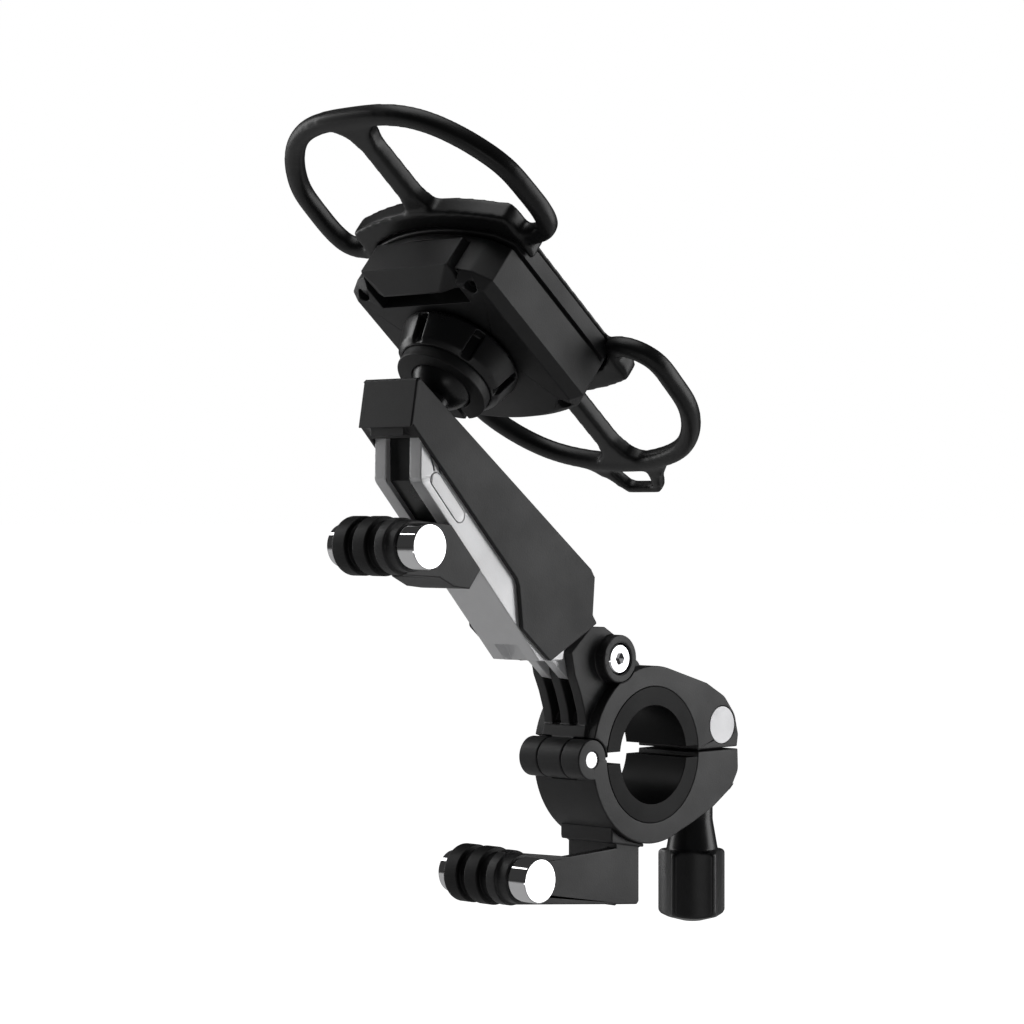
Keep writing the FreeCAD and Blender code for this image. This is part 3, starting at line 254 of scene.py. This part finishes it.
class Shop:
    """Keeps one copy of each material and dresses pieces."""

    def __init__(self) -> None:
        """Start with no materials."""
        self.made: dict[str, bpy.types.Material] = {}

    def material(self, finish: Finish) -> bpy.types.Material:
        """Give the material of a finish.

        Args:
            finish: the finish.

        Returns:
            Its material, made on first use.
        """
        if finish.name not in self.made:
            self.made[finish.name] = finish.build()
        return self.made[finish.name]

    def paint(self, piece: bpy.types.Object, finish: Finish) -> None:
        """Give a piece one finish.

        Args:
            piece: the object.
            finish: its finish.
        """
        piece.data.materials.clear()
        piece.data.materials.append(self.material(finish))

    def round_edges(self, piece: bpy.types.Object, width: float, segments: int = 3) -> None:
        """Round a piece's sharp edges.

        Args:
            piece: the object.
            width: bevel width in millimetres.
            segments: bevel segments.
        """
        joined = piece.modifiers.new("edge_join", "WELD")
        joined.merge_threshold = 0.002 * MM
        bevel = piece.modifiers.new("edge_round", "BEVEL")
        bevel.width = width * MM
        bevel.segments = segments
        bevel.limit_method = "ANGLE"
        bevel.angle_limit = math.radians(32)
        bevel.harden_normals = True
        bevel.use_clamp_overlap = False
        flat = piece.modifiers.new("edge_shade", "WEIGHTED_NORMAL")
        flat.mode = "FACE_AREA"
        flat.weight = 100
        flat.keep_sharp = False

    def soften(self, piece: bpy.types.Object, voxel: float, rounds: int) -> None:
        """Blend a moulded piece's edges and junctions.

        Args:
            piece: the object.
            voxel: cell size in millimetres.
            rounds: smoothing rounds.
        """
        cells = piece.modifiers.new("mould_cells", "REMESH")
        cells.mode = "VOXEL"
        cells.voxel_size = voxel * MM
        cells.use_smooth_shade = True
        blend = piece.modifiers.new("mould_blend", "SMOOTH")
        blend.factor = 0.5
        blend.iterations = rounds

    def smooth(self, piece: bpy.types.Object, angle: float = 30.0) -> None:
        """Shade a piece smooth except at its sharp edges.

        Args:
            piece: the object.
            angle: smallest angle of a sharp edge, in degrees.
        """
        piece.data.shade_smooth()
        piece.data.set_sharp_from_angle(angle=math.radians(angle))


SHOP = Shop()


class Assembly:
    """A sub-assembly of CAD nodes; each kind gives its finishes and dresses them."""

    title = "assembly"

    def finishes(self) -> dict[str, Finish]:
        """Give each node's finish."""
        return {}

    def build(self) -> list[bpy.types.Object]:
        """Collect the assembly's pieces and paint them.

        Returns:
            The pieces in building order.
        """
        pieces = []
        for name, finish in self.finishes().items():
            piece = bpy.data.objects[name]
            SHOP.paint(piece, finish)
            SHOP.smooth(piece)
            pieces.append(piece)
            log.info("%s: %s", self.title, name)
        return pieces

    def dress(self) -> None:
        """Round and soften the pieces; the plain assembly leaves them as they are."""

    def round_all(self, names: tuple[str, ...], width: float) -> None:
        """Round the edges of some pieces alike.

        Args:
            names: node names.
            width: edge width in millimetres.
        """
        for name in names:
            SHOP.round_edges(bpy.data.objects[name], width)


@dataclass
class Clamp(Assembly):
    """Hinged bar clamp with its sleeve, pins, swing bolt, knob and lower arm.

    Args:
        jaw_edge: edge width of the jaws and lower arm in millimetres.
        sleeve_edge: edge width of the rubber sleeve in millimetres.
        knob_cell: moulding cell of the knob in millimetres.
        knob_rounds: smoothing rounds of the knob.
    """

    jaw_edge: float = 0.35
    sleeve_edge: float = 0.15
    knob_cell: float = 0.25
    knob_rounds: int = 10
    title = "clamp"

    def finishes(self) -> dict[str, Finish]:
        """Give each node's finish."""
        return {
            "upper_jaw": COATED, "lower_jaw": COATED, "sleeve_upper": SLEEVE, "sleeve_lower": SLEEVE,
            "hinge_pin": STEEL, "barrel_pin": PIN_STEEL, "swing_bolt": STEEL, "clamp_knob": GLOSS,
            "knob_insert": BRASS, "pivot_bolt": CHROME, "pivot_nut": STEEL, "lower_arm": COATED,
            "lower_arm_screw": STEEL,
        }

    def dress(self) -> None:
        """Round the jaws, the arm and the sleeve, and blend the moulded knob."""
        self.round_all(("upper_jaw", "lower_jaw", "lower_arm"), self.jaw_edge)
        self.round_all(("sleeve_upper", "sleeve_lower"), self.sleeve_edge)
        SHOP.soften(bpy.data.objects["clamp_knob"], self.knob_cell, self.knob_rounds)


@dataclass
class Arm(Assembly):
    """Folding arm: black cover over the silver core, with its bar, button and roller bracket.

    Args:
        cover_edge: edge width of the cover and the bracket in millimetres.
        core_edge: edge width of the core in millimetres.
        button_edge: edge width of the oval button in millimetres.
    """

    cover_edge: float = 0.4
    core_edge: float = 0.3
    button_edge: float = 0.15
    title = "arm"

    def finishes(self) -> dict[str, Finish]:
        """Give each node's finish."""
        return {
            "arm_cover": PLASTIC, "arm_core": SILVER, "mounting_bar": GLOSS, "oval_button": SILVER,
            "oval_spring": STEEL, "roller_bracket": COATED,
        }

    def dress(self) -> None:
        """Round the arm's edges."""
        self.round_all(("arm_cover", "roller_bracket"), self.cover_edge)
        self.round_all(("arm_core",), self.core_edge)
        self.round_all(("oval_button",), self.button_edge)


@dataclass
class Rollers(Assembly):
    """The two ribbed rollers on their chrome pins.

    Args:
        rib_edge: edge width of the ribs in millimetres.
    """

    rib_edge: float = 0.35
    title = "rollers"

    def finishes(self) -> dict[str, Finish]:
        """Give each node's finish."""
        return {
            "upper_roller": RUBBER, "lower_roller": RUBBER, "upper_roller_pin": CHROME,
            "lower_roller_pin": CHROME, "upper_roller_cap": CHROME, "lower_roller_cap": CHROME,
        }

    def dress(self) -> None:
        """Round the ribs."""
        self.round_all(("upper_roller", "lower_roller"), self.rib_edge)


@dataclass
class BallJoint(Assembly):
    """Ball stud in its collet, closed by the lobed lock ring.

    Args:
        collet_edge: edge width of the collet in millimetres.
        ring_cell: moulding cell of the lock ring in millimetres.
        ring_rounds: smoothing rounds of the lock ring.
    """

    collet_edge: float = 0.3
    ring_cell: float = 0.25
    ring_rounds: int = 12
    title = "ball joint"

    def finishes(self) -> dict[str, Finish]:
        """Give each node's finish."""
        return {
            "ball_stud": GLOSS, "socket_collet": PLASTIC, "friction_liner": PLASTIC,
            "pressure_cup": STEEL, "lock_ring": GLOSS,
        }

    def dress(self) -> None:
        """Round the collet and blend the lobes of the lock ring."""
        self.round_all(("socket_collet",), self.collet_edge)
        SHOP.soften(bpy.data.objects["lock_ring"], self.ring_cell, self.ring_rounds)


@dataclass
class Head(Assembly):
    """Phone head: housing, plate, release button and silicone band.

    Args:
        housing_edge: edge width of the housing in millimetres.
        plate_edge: edge width of the plate and the button in millimetres.
        band_cell: moulding cell of the band in millimetres.
        band_rounds: smoothing rounds of the band.
    """

    housing_edge: float = 0.3
    plate_edge: float = 0.5
    band_cell: float = 0.5
    band_rounds: int = 20
    title = "head"

    def finishes(self) -> dict[str, Finish]:
        """Give each node's finish."""
        return {
            "back_housing": PLASTIC, "band_plate": PLASTIC, "housing_screws": GLOSS,
            "release_button": PLASTIC, "release_spring": STEEL, "silicone_band": SILICONE,
        }

    def dress(self) -> None:
        """Round the housing, plate and button, and blend the soft band."""
        self.round_all(("back_housing",), self.housing_edge)
        self.round_all(("band_plate", "release_button"), self.plate_edge)
        SHOP.soften(bpy.data.objects["silicone_band"], self.band_cell, self.band_rounds)


def add_area(name: str, place: tuple, target: tuple, size: tuple, power: float) -> None:
    """Add one soft box aimed at a point.

    Args:
        name: light name.
        place: position in millimetres.
        target: aim in millimetres.
        size: width and height in millimetres.
        power: power in watts.
    """
    data = bpy.data.lights.new(name, "AREA")
    data.shape = "RECTANGLE"
    data.size, data.size_y = size[0] * MM, size[1] * MM
    data.energy = power
    light = bpy.data.objects.new(name, data)
    light.location = Vector(place) * MM
    aim = (Vector(target) - Vector(place)).to_track_quat("-Z", "Y")
    light.rotation_mode = "QUATERNION"
    light.rotation_quaternion = aim
    bpy.context.scene.collection.objects.link(light)


@dataclass
class Studio:
    """Camera, floor, backdrop and soft lights.

    Args:
        lens: focal length in millimetres.
        eye: camera position in millimetres.
        turn: camera turn about the vertical in degrees.
        floor_level: height of the floor in metres.
        fill: strength of the backdrop's light on the object.
    """

    lens: float = 103.32
    eye: tuple[float, float, float] = (-565.36, -513.19, 62.41)
    turn: float = -45.6
    floor_level: float = -0.16
    fill: float = 0.035

    def build(self) -> None:
        """Make the studio."""
        scene = bpy.context.scene
        data = bpy.data.cameras.new("camera")
        data.sensor_width = 36.0
        data.lens = self.lens
        data.clip_start = 0.01
        data.clip_end = 50.0
        camera = bpy.data.objects.new("camera", data)
        camera.location = Vector(self.eye) * MM
        camera.rotation_euler = (math.radians(90), 0.0, math.radians(self.turn))
        scene.collection.objects.link(camera)
        scene.camera = camera
        scene.view_settings.view_transform = "Standard"
        self.world(scene)
        self.floor(scene)
        add_area("key", (700, -560, 150), (-30, 0, 50), (520, 900), 3.9)
        add_area("rim", (-300, 900, 300), (-30, 0, 60), (350, 900), 3.0)
        add_area("top", (-100, 100, 900), (-40, 0, 60), (600, 600), 2.2)
        add_area("low", (-500, -350, -130), (-60, 0, 60), (300, 60), 0.08)

    def world(self, scene: bpy.types.Scene) -> None:
        """Make a white backdrop that lights the object only a little.

        Args:
            scene: the scene.
        """
        world = bpy.data.worlds.new("studio")
        scene.world = world
        world.use_nodes = True
        tree = world.node_tree
        back = tree.nodes["Background"]
        path = tree.nodes.new("ShaderNodeLightPath")
        level = tree.nodes.new("ShaderNodeMapRange")
        level.inputs["To Min"].default_value = self.fill
        level.inputs["To Max"].default_value = 1.0
        tree.links.new(path.outputs["Is Camera Ray"], level.inputs["Value"])
        tree.links.new(level.outputs["Result"], back.inputs["Strength"])
        back.inputs["Color"].default_value = WHITE

    def floor(self, scene: bpy.types.Scene) -> None:
        """Make the pale floor.

        Args:
            scene: the scene.
        """
        mesh = bpy.data.meshes.new("floor")
        grid = bmesh.new()
        bmesh.ops.create_grid(grid, x_segments=1, y_segments=1, size=40.0)
        grid.to_mesh(mesh)
        grid.free()
        floor = bpy.data.objects.new("floor", mesh)
        floor.location = (0, 0, self.floor_level)
        scene.collection.objects.link(floor)
        material = bpy.data.materials.new("floor")
        material.use_nodes = True
        tree = material.node_tree
        shader = tree.nodes["Principled BSDF"]
        shader.inputs["Base Color"].default_value = (0.8, 0.8, 0.8, 1)
        shader.inputs["Roughness"].default_value = 1.0
        shader.inputs["Emission Color"].default_value = WHITE
        path = tree.nodes.new("ShaderNodeLightPath")
        tree.links.new(path.outputs["Is Camera Ray"], shader.inputs["Emission Strength"])
        mesh.materials.append(material)


def main() -> None:
    """Build every assembly."""
    Studio().build()
    for assembly in (Clamp(), Arm(), Rollers(), BallJoint(), Head()):
        pieces = assembly.build()
        assembly.dress()
        log.info("%s has %d pieces", assembly.title, len(pieces))


if __name__ == "__main__":
    logging.basicConfig(level=logging.INFO)
    main()
